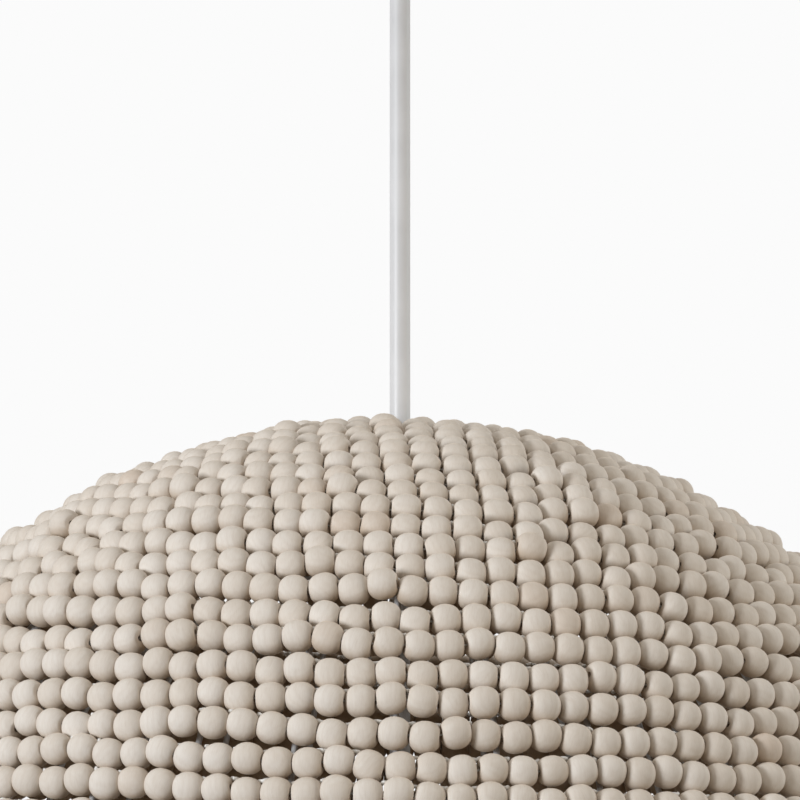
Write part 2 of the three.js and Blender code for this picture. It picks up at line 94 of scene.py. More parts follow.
# Differences between beads, in size and in the place and slant of their grain
SIZE_SPREAD = 0.022
SIZE_LIMIT = 0.06
LENGTH_SPREAD = 0.6 * SIZE_SPREAD
FLATNESS_SPREAD = 0.008
GRAIN_SLANT = 0.14
GRAIN_SPREAD = 14 * MM

# Where each strand's front hangs, from the top one down: above (less than 0) or below its even place
FRONT_SAGS = [sag * MM for sag in (
    0, 0, 0, 0, 0, -1.5, -1.2, 0.8, -0.8, -0.9, -1.7, -1.3, -2.2, -1.9, -0.4,
    0.2, 2.2, 1.1, 1.5, 1.2, 0.4, 0, 0, 0, 0, 0, 0, 0, 0)]
FRONT_NARROWNESS = 4

# Strands hang lower at the back, run down to the right by SKEW and curve down at the sides by FROWN
BACK_SAG = 4.0 * MM
SKEW = math.radians(1.35)
FROWN = 10 * MM
SKEW_ENDS = math.radians(62)

# Between the first and the last of these, strands lie higher on the left, and the middle one does most
LIFTED_STRANDS = (11, 23, 28)
LEFT_LIFT = 7 * MM

# How the beads are pushed apart: where neighbours are sought, and shares of an error mended in a round
SETTLE_ROUNDS = 40
NEIGHBOUR_REACH = 1.5 * BEAD_DIAMETER
CORD_PULL = 0.25
BEAD_PUSH = 0.5
HOME_PULL = 0.04
SINK_LIMIT = 0.2 * MM

# Threads, and loops over the joints of beads: the ranges of a loop's reach along the strand, its rise at
# the ends and its foot's height, how far it stands proud there and how far its ends dive
THREAD_RADIUS = 0.55 * MM
THREAD_SIDES = 6
LOOP_RADIUS = 1.0 * MM
LOOP_POINTS = 9
LOOP_REACH = (0.8 * MM, 3.2 * MM)
LOOP_RISE = (0.6 * MM, 2.8 * MM)
LOOP_FOOT = (3.6 * MM, 5.8 * MM)
LOOP_PROUD = 1.2 * MM
LOOP_DIVE = 2.4 * MM

# Wires
WIRE_RADIUS = 1.5 * MM
WIRE_SIDES = 10
RIB_COUNT = 36
MAIN_RIB_STEP = 3
HOOP_STRANDS = (12, 24)
RIM_ANGLE = math.radians(91)
WIRE_GAP = 0.3 * MM
FRAME_RADIUS = BEAD_CENTRES - BEAD_RADIUS - WIRE_RADIUS - WIRE_GAP

# Fittings: the holes that take the stem or the nipple, a nut's bore and the way for the supply cable
TUBE_HOLE = 5.3 * MM
NUT_BORE = 5.2 * MM
LEAD_BORE = 3.6 * MM
ROUND_HOLE = (0, 337.5, 15)
SIDES = {1: "right", -1: "left"}

# Meshes: creases in degrees, bends that count as straight, and how much of a short edge is rounded off
CREASE = 35
BEAD_CREASE = 38
STRAIGHT = math.radians(160)
TRIM_SHARE = 0.45
ON_AXIS = 1e-9
WELD_DISTANCE = 0.01 * MM


# Meshes are pairs of a point array and a list of faces until they become objects
def turned(outline, segments, ripple=None):
    """Turns an outline of (radius, height) points round Z, from axis to axis or as a closed loop."""
    points, rings, faces = [], [], []
    for radius, height in outline:
        start = len(points)
        if radius < ON_AXIS:
            points.append((0, 0, height))
            rings.append([start] * segments)
            continue
        for step in range(segments):
            angle = 2 * math.pi * step / segments
            reach = radius if ripple is None else ripple(angle, radius, height)
            points.append((reach * math.cos(angle), reach * math.sin(angle), height))
        rings.append(list(range(start, start + segments)))
    if outline[0][0] > ON_AXIS:
        rings.append(rings[0])
    for lower, upper in zip(rings, rings[1:]):
        for step in range(segments):
            after = (step + 1) % segments
            face = list(dict.fromkeys([lower[step], lower[after], upper[after], upper[step]]))
            if len(face) > 2:
                faces.append(face)
    return np.array(points, float), faces


def softened(outline, radius, steps=3):
    """Rounds the corners of an outline, except where it meets the axis."""
    closed = outline[0][0] > ON_AXIS
    count = len(outline)
    result = []
    for index, corner in enumerate(outline):
        here = Vector(corner)
        before = Vector(outline[index - 1]) - here
        after = Vector(outline[(index + 1) % count]) - here
        at_axis = not closed and index in (0, count - 1)
        if at_axis or before.angle(after, math.pi) > STRAIGHT:
            result.append(corner)
            continue
        trim = min(radius, TRIM_SHARE * before.length, TRIM_SHARE * after.length)
        start = here + before.normalized() * trim
        end = here + after.normalized() * trim
        for step in range(steps + 1):
            share = step / steps
            point = start * (1 - share) ** 2 + here * 2 * share * (1 - share) + end * share ** 2
            result.append((max(point.x, 0), point.y))
    return result


def tube(path, radius, sides, closed=False):
    """A round wire along a path of points. Its rings don't twist, also where it starts upright."""
    path = np.array(path, float)
    count = len(path)
    along = np.roll(path, -1, 0) - np.roll(path, 1, 0) if closed else np.gradient(path, axis=0)
    along /= np.linalg.norm(along, axis=1)[:, None]
    side = np.cross(along[0], (0.0, 0.0, 1.0))
    if np.linalg.norm(side) < 0.1:
        side = np.cross(along[0], (1.0, 0.0, 0.0))
    angles = 2 * np.pi * np.arange(sides) / sides
    rings = []
    for place, direction in zip(path, along):
        side = side - direction * (side @ direction)
        side /= np.linalg.norm(side)
        other = np.cross(direction, side)
        rings.append(place + radius * (np.outer(np.cos(angles), side) + np.outer(np.sin(angles), other)))
    faces = []
    for ring in range(count if closed else count - 1):
        first, second = ring * sides, ((ring + 1) % count) * sides
        for step in range(sides):
            after = (step + 1) % sides
            faces.append([first + step, first + after, second + after, second + step])
    if not closed:
        faces += [list(range(sides))[::-1], list(range((count - 1) * sides, count * sides))]
    return np.concatenate(rings), faces


def combined(parts):
    points, faces, start = [], [], 0
    for part_points, part_faces in parts:
        points.append(part_points)
        faces += [[start + corner for corner in face] for face in part_faces]
        start += len(part_points)
    return np.concatenate(points), faces


def moved(part, matrix):
    points, faces = part
    matrix = np.array(matrix)
    return points @ matrix[:3, :3].T + matrix[:3, 3], faces


def mesh_of(name, part, crease=CREASE):
    points, faces = part
    mesh = bpy.data.meshes.new(name)
    mesh.from_pydata(points.tolist(), [], faces)
    smooth(mesh, crease)
    return mesh


def smooth(mesh, crease):
    mesh.shade_smooth()
    mesh.set_sharp_from_angle(angle=math.radians(crease))


def placed_object(name, data):
    obj = bpy.data.objects.new(name, data)
    bpy.context.scene.collection.objects.link(obj)
    return obj


def piece(name, mesh, body, slot, replaces=()):
    """A visible piece: the body it rides on, its material slot and the frame nodes that it replaces."""
    obj = placed_object(name, mesh)
    mesh.materials.clear()
    mesh.materials.append(MATERIALS[slot])
    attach(obj, body)
    if replaces:
        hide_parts(*replaces)


def evaluated(obj):
    """The mesh of an object with its modifiers and curve settings applied."""
    bpy.context.view_layer.update()
    return bpy.data.meshes.new_from_object(obj.evaluated_get(bpy.context.evaluated_depsgraph_get()))


def plate(outline, holes, thickness, bevel):
    """A flat plate in XY with rounded edges and holes, centred on Z. Outlines are lists of (x, y)."""
    curve = bpy.data.curves.new("plate", "CURVE")
    curve.dimensions = "2D"
    curve.fill_mode = "BOTH"
    curve.extrude = thickness / 2 - bevel
    curve.bevel_depth = bevel
    curve.bevel_resolution = 2
    curve.offset = -bevel
    for loop in [outline, *holes]:
        spline = curve.splines.new("POLY")
        spline.points.add(len(loop) - 1)
        for point, (x, y) in zip(spline.points, loop):
            point.co = (x, y, 0, 1)
        spline.use_cyclic_u = True
    obj = placed_object("plate", curve)
    mesh = evaluated(obj)
    shape = bmesh.new()
    shape.from_mesh(mesh)
    bmesh.ops.remove_doubles(shape, verts=shape.verts, dist=WELD_DISTANCE)
    bmesh.ops.recalc_face_normals(shape, faces=shape.faces)
    points = np.array([vertex.co for vertex in shape.verts])
    faces = [[corner.index for corner in face.verts] for face in shape.faces]
    shape.free()
    bpy.data.objects.remove(obj)
    bpy.data.meshes.remove(mesh)
    return points, faces


def arc(centre, radius, start, end, steps):
    """Points on an arc in a plane, with its angles in degrees."""
    angles = [math.radians(start + (end - start) * step / steps) for step in range(steps + 1)]
    return [(centre[0] + radius * math.cos(a), centre[1] + radius * math.sin(a)) for a in angles]


def round_rectangle(width, height, radius, centre=(0, 0), steps=5):
    points = []
    for turn, (across, up) in enumerate([(1, 1), (-1, 1), (-1, -1), (1, -1)]):
        x, y = centre[0] + across * (width / 2 - radius), centre[1] + up * (height / 2 - radius)
        points += arc((x, y), radius, 90 * turn, 90 * turn + 90, steps)
    return points


def carved(name, parts, cuts=()):
    """Joins closed parts into one mesh and cuts others out of it."""
    base, *tools = [placed_object("shape", mesh_of("shape", part)) for part in [*parts, *cuts]]
    for index, tool in enumerate(tools, 1):
        modifier = base.modifiers.new("cut", "BOOLEAN")
        modifier.object = tool
        modifier.operation = "UNION" if index < len(parts) else "DIFFERENCE"
        modifier.solver = "EXACT"
    mesh = evaluated(base)
    for obj in (base, *tools):
        bpy.data.objects.remove(obj)
    mesh.name = name
    smooth(mesh, CREASE)
    return mesh


def corners_of(node_name):
    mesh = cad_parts[node_name].data
    points = np.empty(len(mesh.vertices) * 3, np.float32)
    mesh.vertices.foreach_get("co", points)
    return points.reshape(-1, 3).astype(float)


def span(node_name, origin=(0, 0, 0), axis=(0, 0, 1)):
    """Where a frame node starts and ends along an axis, and how far it reaches from it."""
    offsets = corners_of(node_name) - np.array(origin)
    along = offsets @ np.array(axis)
    away = offsets - np.outer(along, axis)
    return along.min(), along.max(), np.linalg.norm(away, axis=1).max()


# Materials
BUMP_DEPTH = 0.1 * MM


def set_inputs(shader, values):
    for key, value in values.items():
        shader.inputs[key].default_value = value


def new_material(name, color, roughness):
    material = bpy.data.materials.new(name)
    material.use_nodes = True
    shader = material.node_tree.nodes["Principled BSDF"]
    set_inputs(shader, {"Base Color": (*color, 1), "Roughness": roughness})
    return material, material.node_tree, shader


def node(tree, kind, inputs=(), **settings):
    """A shader node with its settings and its inputs: values, or sockets that are linked."""
    made = tree.nodes.new(kind)
    for key, value in settings.items():
        setattr(made, key, value)
    for key, value in dict(inputs).items():
        if isinstance(value, bpy.types.NodeSocket):
            tree.links.new(value, made.inputs[key])
        else:
            made.inputs[key].default_value = value
    return made


def mix_color(tree, factor, first, second):
    """Goes from the first colour to the second. Both are colours or sockets."""
    ends = [end if isinstance(end, bpy.types.NodeSocket) else (*end, 1) for end in (first, second)]
    inputs = {0: factor, 6: ends[0], 7: ends[1]}
    return node(tree, "ShaderNodeMix", inputs, data_type="RGBA").outputs[2]


def ramp(tree, factor, low, high):
    """Maps a factor from between low and high to 0 to 1."""
    inputs = {"Value": factor, "From Min": low, "From Max": high}
    return node(tree, "ShaderNodeMapRange", inputs).outputs[0]


def spread(tree, factor, low, high):
    """Maps a factor from 0 to 1 to between low and high."""
    return node(tree, "ShaderNodeMapRange", {"Value": factor, "To Min": low, "To Max": high}).outputs[0]


def noise(tree, place, scale, detail=2.0):
    inputs = {"Vector": place, "Scale": scale, "Detail": detail}
    return node(tree, "ShaderNodeTexNoise", inputs).outputs["Fac"]


def object_place(tree):
    return node(tree, "ShaderNodeTexCoord").outputs["Object"]


def scaled(tree, vector, scale):
    return node(tree, "ShaderNodeVectorMath", {0: vector, 1: scale}, operation="MULTIPLY").outputs[0]


def bumped(tree, shader, height, strength):
    bump = node(tree, "ShaderNodeBump", {"Strength": strength, "Distance": BUMP_DEPTH, "Height": height})
    tree.links.new(bump.outputs[0], shader.inputs["Normal"])


def bead_wood():
    """Sanded pale wood. Each bead has its own tone, growth lines and turning marks, and painted shade:
    darker, warmer wood on the side turned into the dome and partly at its edges.
    """
    material, tree, shader = new_material("bead_wood", (0.66, 0.6, 0.53), 0.6)
    place = node(tree, "ShaderNodeAttribute", attribute_name="grain").outputs["Vector"]
    tone = node(tree, "ShaderNodeAttribute", attribute_name="tone").outputs["Fac"]
    inward_shade = node(tree, "ShaderNodeAttribute", attribute_name="inward_shade").outputs["Fac"]
    rings = {"Vector": place, "Scale": 110.0, "Distortion": 4.0, "Detail": 2.0, "Detail Scale": 1.5}
    lines = node(tree, "ShaderNodeTexWave", rings, wave_type="RINGS", rings_direction="Y").outputs["Fac"]
    fibres = noise(tree, scaled(tree, place, (400.0, 200.0, 2400.0)), 1.0, 3.0)
    clouds = noise(tree, place, 210.0)
    color = (0.745, 0.695, 0.635)
    for factor, none, full, over in (
            (tone, 0.0, 0.8, (0.69, 0.63, 0.56)),  # some beads are darker
            (tone, 0.94, 1.02, (0.64, 0.54, 0.45)),  # and a few are tan
            (inward_shade, -0.5, 0.6, (0.47, 0.35, 0.235)),  # painted shade: darker, warmer wood on the side turned into the dome, partly at the bead's edges
            (lines, 0.3, 9.0, (0.5, 0.4, 0.3)),
            (fibres, 0.45, 2.3, (0.46, 0.37, 0.28)),
            (clouds, 0.5, 1.6, (0.8, 0.77, 0.72))):
        color = mix_color(tree, ramp(tree, factor, none, full), color, over)
    tree.links.new(color, shader.inputs["Base Color"])
    tree.links.new(spread(tree, fibres, 0.52, 0.7), shader.inputs["Roughness"])
    set_inputs(shader, {"Specular IOR Level": 0.15, "Sheen Weight": 0.3, "Sheen Roughness": 0.35,
                        "Sheen Tint": (1.0, 0.84, 0.64, 1)})
    bumped(tree, shader, fibres, 0.08)
    return material


def painted(name, color, roughness, speckle_scale, bump):
    """Paint or plastic with a faint unevenness in its surface and its gloss."""
    material, tree, shader = new_material(name, color, roughness)
    place = object_place(tree)
    cloud = noise(tree, place, 45.0, 3.0)
    darker = tuple(channel * 0.9 for channel in color)
    shade = mix_color(tree, ramp(tree, cloud, 0.3, 0.7), darker, color)
    tree.links.new(shade, shader.inputs["Base Color"])
    tree.links.new(spread(tree, cloud, roughness - 0.08, roughness + 0.1), shader.inputs["Roughness"])
    bumped(tree, shader, noise(tree, place, speckle_scale), bump)
    return material


def metal(name, color, roughness, grain):
    """Plated steel with scratches along Z, finer where grain is larger."""
    material, tree, shader = new_material(name, color, roughness)
    shader.inputs["Metallic"].default_value = 1.0
    place = object_place(tree)
    scratch = noise(tree, scaled(tree, place, (grain, grain, grain / 12)), 1.0, 3.0)
    duller = tuple(channel * 0.78 for channel in color)
    shade = mix_color(tree, ramp(tree, noise(tree, place, 160.0), 0.35, 0.7), duller, color)
    tree.links.new(shade, shader.inputs["Base Color"])
    tree.links.new(spread(tree, scratch, roughness - 0.1, roughness + 0.14), shader.inputs["Roughness"])
    bumped(tree, shader, scratch, 0.12)
    return material


def opal_glass():
    """Unlit opal glass: milky, with a clear gloss over it."""
    material, tree, shader = new_material("opal_glass", (0.86, 0.85, 0.82), 0.22)
    cloud = ramp(tree, noise(tree, object_place(tree), 30.0), 0.35, 0.7)
    shade = mix_color(tree, cloud, (0.82, 0.8, 0.76), (0.9, 0.89, 0.87))
    tree.links.new(shade, shader.inputs["Base Color"])
    set_inputs(shader, {"Subsurface Weight": 0.25, "Subsurface Scale": 4 * MM, "Coat Weight": 0.5,
                        "Coat Roughness": 0.05})
    return material


MATERIALS = {
    "bead_wood": bead_wood(),
    "white_coat": painted("white_coat", (0.71, 0.715, 0.725), 0.42, 1400.0, 0.12),
    "zinc_steel": metal("zinc_steel", (0.6, 0.61, 0.63), 0.32, 900.0),
    "white_plastic": painted("white_plastic", (0.78, 0.775, 0.75), 0.38, 900.0, 0.08),
    "cable_sheath": painted("cable_sheath", (0.74, 0.74, 0.73), 0.5, 1200.0, 0.1),
    "nickel_cap": metal("nickel_cap", (0.66, 0.65, 0.61), 0.24, 600.0),
    "opal_glass": opal_glass(),
    "lashing_thread": painted("lashing_thread", (0.93, 0.93, 0.91), 0.55, 2600.0, 0.3),
}


# Bead strands. Corners closer together than SAME_CREST, round Z, belong to one crest
SAME_CREST = math.radians(0.5)
WAVE_FADE = 4
strand_nodes = sorted(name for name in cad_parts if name.startswith("bead_strand_"))
strand_count = len(strand_nodes)


def strand_places(node_name):
    """The places of a frame strand's crests: their angle from straight up, and each one's round Z."""
    points = corners_of(node_name) - DOME_MIDDLE
    distance = np.linalg.norm(points, axis=1)
    x, y, z = points[distance > distance.max() - MM].T
    azimuths = np.sort(np.arctan2(y, x))
    apart = np.diff(azimuths, prepend=azimuths[-1] - 2 * math.pi)
    return np.arctan2(np.hypot(x, y), z).mean(), azimuths[apart > SAME_CREST]


crests = [strand_places(name) for name in strand_nodes]
strand_angles = np.array([polar for polar, _ in crests])


def smooth_noise(strength, likeness, turns):
    """One smooth closed wave round the dome for each strand, each like the one above it."""
    terms = draw.normal(size=(strand_count, turns, 2))
    for strand in range(1, strand_count):
        terms[strand] = likeness * terms[strand - 1] + math.sqrt(1 - likeness ** 2) * terms[strand]
    weights = 1 / np.sqrt(1 + np.arange(1, turns + 1) / WAVE_FADE)
    weights *= strength / np.linalg.norm(weights)

    def value(strand, azimuths):
        phases = np.outer(azimuths, np.arange(1, turns + 1))
        waves = terms[strand, :, 0] * np.cos(phases) + terms[strand, :, 1] * np.sin(phases)
        return waves @ weights
    return value


def on_dome(polar, azimuth, radius):
    """Points at an angle from straight up, an angle round Z and a distance from the dome's centre."""
    polar, azimuth, radius = np.broadcast_arrays(polar, azimuth, radius)
    return np.stack([radius * np.sin(polar) * np.cos(azimuth), radius * np.sin(polar) * np.sin(azimuth),
                     DOME_CENTRE + radius * np.cos(polar)], axis=-1)


def strung_beads():
    """Bead centres of every strand, near their places on the dome and with small errors."""
    wobble = smooth_noise(ROW_WOBBLE, likeness=0.8, turns=12)
    bulge = smooth_noise(ROW_BULGE, likeness=0.6, turns=16)
    strands = []
    for strand, (polar, places) in enumerate(crests):
        count = len(places)
        azimuths = places + draw.normal(0, STRAND_SHIFT) / (BEAD_CENTRES * math.sin(polar))
        right, forward = np.sin(azimuths - FRONT), np.cos(azimuths - FRONT)
        front = (1 + forward) / 2

        calm = np.clip(BACK_FADE * (forward - math.cos(BACK_EDGE)), BACK_CALM, 1)
        calm *= min(1, TOP_CALM + (1 - TOP_CALM) * polar / TOP_ENDS)
        loose = (np.where(right > 0, 1, LEFT_LOOSENESS) * right) ** 2
        loose *= np.clip((LOOSE_END - polar) / LOOSE_FADE, 0, 1)
        shift = (BEAD_SHIFT + SIDE_SHIFT * loose) * draw.normal(size=count)
        down = calm * (wobble(strand, azimuths) + shift)

        fade = min(1, (RIM_ANGLE - polar) / (RIM_ANGLE - SKEW_ENDS))
        skew = SKEW * BEAD_CENTRES * right + FROWN * (1 - np.abs(forward))
        down += fade * (1 + np.abs(forward)) / 2 * skew
        down += front ** FRONT_NARROWNESS * FRONT_SAGS[strand] + (1 - front) * BACK_SAG
        down -= np.interp(strand, LIFTED_STRANDS, (0, LEFT_LIFT, 0)) * np.clip(-right, 0, 1)
        out = calm * (bulge(strand, azimuths) + draw.normal(0, BEAD_BULGE, count))
        strands.append(on_dome(polar + down / BEAD_CENTRES, azimuths, BEAD_CENTRES + out))
    return strands


def settled(strands, sizes):
    """Moves the beads until hardly any lies in another, with each strand's spacing kept."""
    places = np.concatenate(strands)
    home = places.copy()
    strand_of = np.repeat(np.arange(strand_count), [len(strand) for strand in strands])
    members = [np.flatnonzero(strand_of == strand) for strand in range(strand_count)]
    after = np.concatenate([np.roll(beads, -1) for beads in members])
    pitch = np.linalg.norm(places[after] - places, axis=1)
    pitch = np.array([pitch[beads].mean() for beads in members])[strand_of]
    tree = KDTree(len(places))
    for index, place in enumerate(places):
        tree.insert(place, index)
    tree.balance()
    pairs = [(index, other) for index, place in enumerate(places)
             for _, other, _ in tree.find_range(place, NEIGHBOUR_REACH)
             if index < other and strand_of[index] != strand_of[other]]
    first, second = np.array(pairs).T
    for _ in range(SETTLE_ROUNDS):
        # Along each strand
        cord = places[after] - places
        length = np.linalg.norm(cord, axis=1)[:, None]
        cord /= length
        pull = CORD_PULL * (length - pitch[:, None]) * cord
        places += pull
        np.add.at(places, after, -pull)
        # Between strands, where a bead's reach depends on the side that it turns to the other
        gap = places[second] - places[first]
        apart = np.linalg.norm(gap, axis=1)[:, None]
        gap /= apart
        reach = 0
        for side in (first, second):
            along = (gap * cord[side]).sum(1)
            lengthwise = along * BEAD_LENGTH / BEAD_DIAMETER
            reach = reach + BEAD_RADIUS * sizes[side] * np.sqrt(lengthwise ** 2 + (1 - along ** 2))
        push = BEAD_PUSH * np.maximum(0, reach[:, None] - apart) * gap
        np.add.at(places, first, -push)
        np.add.at(places, second, push)
        # Home, but not down onto the wires
        places += HOME_PULL * (home - places)
        outward = places - DOME_MIDDLE
        distance = np.linalg.norm(outward, axis=1)[:, None]
        places = DOME_MIDDLE + outward / distance * np.maximum(distance, BEAD_CENTRES - SINK_LIMIT)
    return [places[beads] for beads in members]


def leaned(points):
    """The dome hangs a little out of level: it is turned about the hub at its top."""
    hub = DOME_MIDDLE + (0, 0, FRAME_RADIUS)
    turn = np.array(Matrix.Rotation(LEAN, 3, "Y"))
    return (points - hub) @ turn.T + hub


def bead_shape():
    """One bead, bored along Z: a swelling side, flat ends and a through bore."""
    outline = []
    half = BEAD_LENGTH / 2
    for ring in range(BEAD_RINGS):
        height = -SIDE_SHARE * half * math.cos(math.pi * ring / (BEAD_RINGS - 1))
        swell = (1 - abs(height / BEAD_SWELL) ** BEAD_SQUARENESS) ** (1 / BEAD_SQUARENESS)
        outline.append((BEAD_RADIUS * swell, height))
    outline += [(BEAD_FACE, half), (BEAD_BORE, BORE_SHARE * half), (BEAD_BORE, -BORE_SHARE * half),
                (BEAD_FACE, -half)]
    return turned(outline, BEAD_SIDES)


def strand_mesh(name, centres, sizes, shape):
    """All the beads of one strand, with a grain place, a tone and an inward share that sets the wood's
    painted shade.
    """
    points, faces = shape
    count = len(centres)
    cord = np.roll(centres, -1, 0) - np.roll(centres, 1, 0)
    cord += np.linalg.norm(cord, axis=1)[:, None] * draw.normal(0, BEAD_TILT, (count, 3))
    cord /= np.linalg.norm(cord, axis=1)[:, None]
    outward = centres - DOME_MIDDLE
    outward -= cord * (outward * cord).sum(1)[:, None]
    outward /= np.linalg.norm(outward, axis=1)[:, None]
    across = np.cross(cord, outward)
    heights = sizes * draw.normal(1, FLATNESS_SPREAD, count)
    lengths = draw.normal(1, LENGTH_SPREAD, count)
    basis = np.stack([outward * sizes[:, None], across * heights[:, None], cord * lengths[:, None]], 1)
    placed = np.einsum("vk,nkd->nvd", points, basis) + centres[:, None, :]
    corners = len(points)
    all_faces = (np.array(faces)[None] + corners * np.arange(count)[:, None, None]).reshape(-1, 4)
    mesh = mesh_of(name, (leaned(placed.reshape(-1, 3)), all_faces.tolist()), BEAD_CREASE)
    slant = np.cross(draw.normal(0, GRAIN_SLANT, (count, 1, 3)), points[None])
    grain = points + slant + draw.normal(0, GRAIN_SPREAD, (count, 1, 3))
    tone = np.repeat(draw.random(count), corners)
    # How far each point of a bead faces into the dome, for the wood's painted shade
    inward_shade = np.tile(-points[:, 0] / BEAD_RADIUS, count)
    for key, kind, field, values in (
            ("grain", "FLOAT_VECTOR", "vector", grain),
            ("tone", "FLOAT", "value", tone),
            ("inward_shade", "FLOAT", "value", inward_shade)):
        data = mesh.attributes.new(key, kind, "POINT").data
        data.foreach_set(field, values.astype(np.float32).ravel())
    return mesh


def thread_mesh(name, centres):
    """The thread through a strand's beads, and the loops that tie it back between them."""
    parts = [tube(leaned(centres), THREAD_RADIUS, THREAD_SIDES, closed=True)]
    for here, after in zip(centres, np.roll(centres, -1, 0)):
        joint = (here + after) / 2
        along = (after - here) / np.linalg.norm(after - here)
        outward = (joint - DOME_MIDDLE) / np.linalg.norm(joint - DOME_MIDDLE)
        upward = np.cross(along, outward)
        upward *= np.sign(upward[2]) or 1
        reaches = draw.uniform(*LOOP_REACH, 2)
        rises = draw.uniform(*LOOP_RISE, 2)
        foot = draw.uniform(*LOOP_FOOT)
        loop = []
        for share in np.linspace(-1, 1, LOOP_POINTS):
            side, away = int(share > 0), abs(share)
            loop.append(joint + along * share * reaches[side] + upward * (foot + away * rises[side])
                        + outward * ((1 - away) * LOOP_PROUD - LOOP_DIVE * away ** 2))
        parts.append(tube(leaned(np.array(loop)), LOOP_RADIUS, THREAD_SIDES))
    return mesh_of(name, combined(parts), 60)


def make_strands():
    strands = strung_beads()
    sizes = draw.normal(1, SIZE_SPREAD, sum(len(strand) for strand in strands))
    sizes = np.clip(sizes, 1 - SIZE_LIMIT, 1 + SIZE_LIMIT)
    shape = bead_shape()
    start = 0
    for node_name, centres in zip(strand_nodes, settled(strands, sizes)):
        beads, thread = (node_name.replace("bead_strand", kind) for kind in ("beads", "thread"))
        end = start + len(centres)
        mesh = strand_mesh(beads, centres, sizes[start:end], shape)
        piece(beads, mesh, "shade", "bead_wood", [node_name])
        piece(thread, thread_mesh(thread, centres), "shade", "lashing_thread")
        start = end


# Wire frame
HUB_RADIUS = 26 * MM
HUB_SINK = 2.2 * MM
HUB_RISE = 0.3 * MM
RIB_OVERLAP = 3 * MM
RIB_POINTS = 36
HOOP_POINTS = 144
HOOP_INSET = 1.7 * WIRE_RADIUS
WELD_OUTLINE = [(radius * MM, height * MM) for radius, height in (
    (0, -2.4), (1.7, -1.4), (2.2, 0), (1.7, 1.4), (0, 2.4))]
WELD_INSET = 0.6 * MM


def make_wire_frame():
    """Ribs and hoops of round wire, welded at every crossing and to the plate at the hub."""
    top = DOME_CENTRE + FRAME_RADIUS
    disc = softened(sleeve(NUT_BORE, HUB_RADIUS, top - HUB_SINK, top + HUB_RISE), 0.6 * MM)
    parts = [turned(disc, 64)]
    hoops = [(strand_angles[strand - 1] + strand_angles[strand]) / 2 for strand in HOOP_STRANDS]
    hoops.append(RIM_ANGLE)
    for polar in hoops:
        radius = FRAME_RADIUS if polar == RIM_ANGLE else FRAME_RADIUS - HOOP_INSET
        azimuths = 2 * math.pi * np.arange(HOOP_POINTS) / HOOP_POINTS
        parts.append(tube(on_dome(polar, azimuths, radius), WIRE_RADIUS, WIRE_SIDES, closed=True))
    for rib in range(RIB_COUNT):
        azimuth = 2 * math.pi * rib / RIB_COUNT
        start = (HUB_RADIUS - RIB_OVERLAP) / FRAME_RADIUS if rib % MAIN_RIB_STEP == 0 else hoops[0]
        polars = np.linspace(start, RIM_ANGLE, RIB_POINTS)
        parts.append(tube(on_dome(polars, azimuth, FRAME_RADIUS), WIRE_RADIUS, WIRE_SIDES))
        for polar in hoops:
            if polar >= start:
                place = Matrix.Translation(on_dome(polar, azimuth, FRAME_RADIUS - WELD_INSET))
                parts.append(moved(turned(WELD_OUTLINE, WIRE_SIDES), place))
    points, faces = combined(parts)
    mesh = mesh_of("dome_wire_frame", (leaned(points), faces), 50)
    piece("dome_wire_frame", mesh, "shade", "white_coat", ["wire_frame"])


# Fittings
def rod(radius, low, high):
    """The outline of a solid cylinder."""
    return [(0, low), (radius, low), (radius, high), (0, high)]


def sleeve(bore, radius, low, high):
    """The outline of a hollow cylinder."""
    return [(bore, low), (radius, low), (radius, high), (bore, high)]


def make_sleeve(name, node_name, bore, segments):
    """A white hollow cylinder on the shade, the size of its frame node."""
    low, high, radius = span(node_name)
    outline = softened(sleeve(bore, radius, low, high), 0.4 * MM)
    piece(name, mesh_of(name, turned(outline, segments)), "shade", "white_coat", [node_name])


def make_lead(name, node_name, body):
    """A straight length of supply cable."""
    low, high, radius = span(node_name)
    mesh = mesh_of(name, turned(softened(rod(radius, low, high), 0.8 * MM), 32))
    piece(name, mesh, body, "cable_sheath", [node_name])


def make_nut(name, node_name, body, slot):
    """A hexagon nut with chamfered corners, the size of its frame node."""
    low, high, corner = span(node_name)
    flat = corner * math.cos(math.pi / 6)
    shoulder, chamfer, edge = 0.95 * flat, 0.6 * (corner - 0.96 * flat), 0.5 * MM

    def six_sided(angle, radius, height):
        if radius <= flat:
            return radius
        return min(radius, flat / math.cos((angle % (math.pi / 3)) - math.pi / 6))
    outline = [(NUT_BORE, low + edge), (NUT_BORE + edge, low), (shoulder, low),
               (corner, low + chamfer), (corner, high - chamfer), (shoulder, high),
               (NUT_BORE + edge, high), (NUT_BORE, high - edge)]
    piece(name, mesh_of(name, turned(outline, 72, six_sided), 25), body, slot, [node_name])


def pan_screw(name, low, high, head_radius, shank_radius, head_length):
    """A slotted screw along Z with its head at the top."""
    seat = high - head_length
    outline = [(0, low), (shank_radius * 0.8, low), (shank_radius, low + 0.4 * MM),
               (shank_radius, seat), (head_radius, seat), (head_radius, high), (0, high)]
    slot = plate(round_rectangle(2.4 * head_radius, 0.8 * MM, 0.1 * MM), [], 2 * MM, 0.05 * MM)
    slot = moved(slot, Matrix.Translation((0, 0, high + 0.2 * MM)))
    return carved(name, [turned(softened(outline, 0.6 * MM), 48)], [slot])


def sideways(part, shift, height):
    """Lays a plate drawn in XY so that X runs along Y and Y along Z, and moves it along X and up."""
    return moved(part, Matrix(((0, 0, 1, shift), (1, 0, 0, 0), (0, 1, 0, height), (0, 0, 0, 1))))


def laid_across(side, height):
    """Takes a solid made along Z to a height, where it points along X to one side."""
    return Matrix.Translation((0, 0, height)) @ Matrix.Rotation(side * math.pi / 2, 4, "Y")


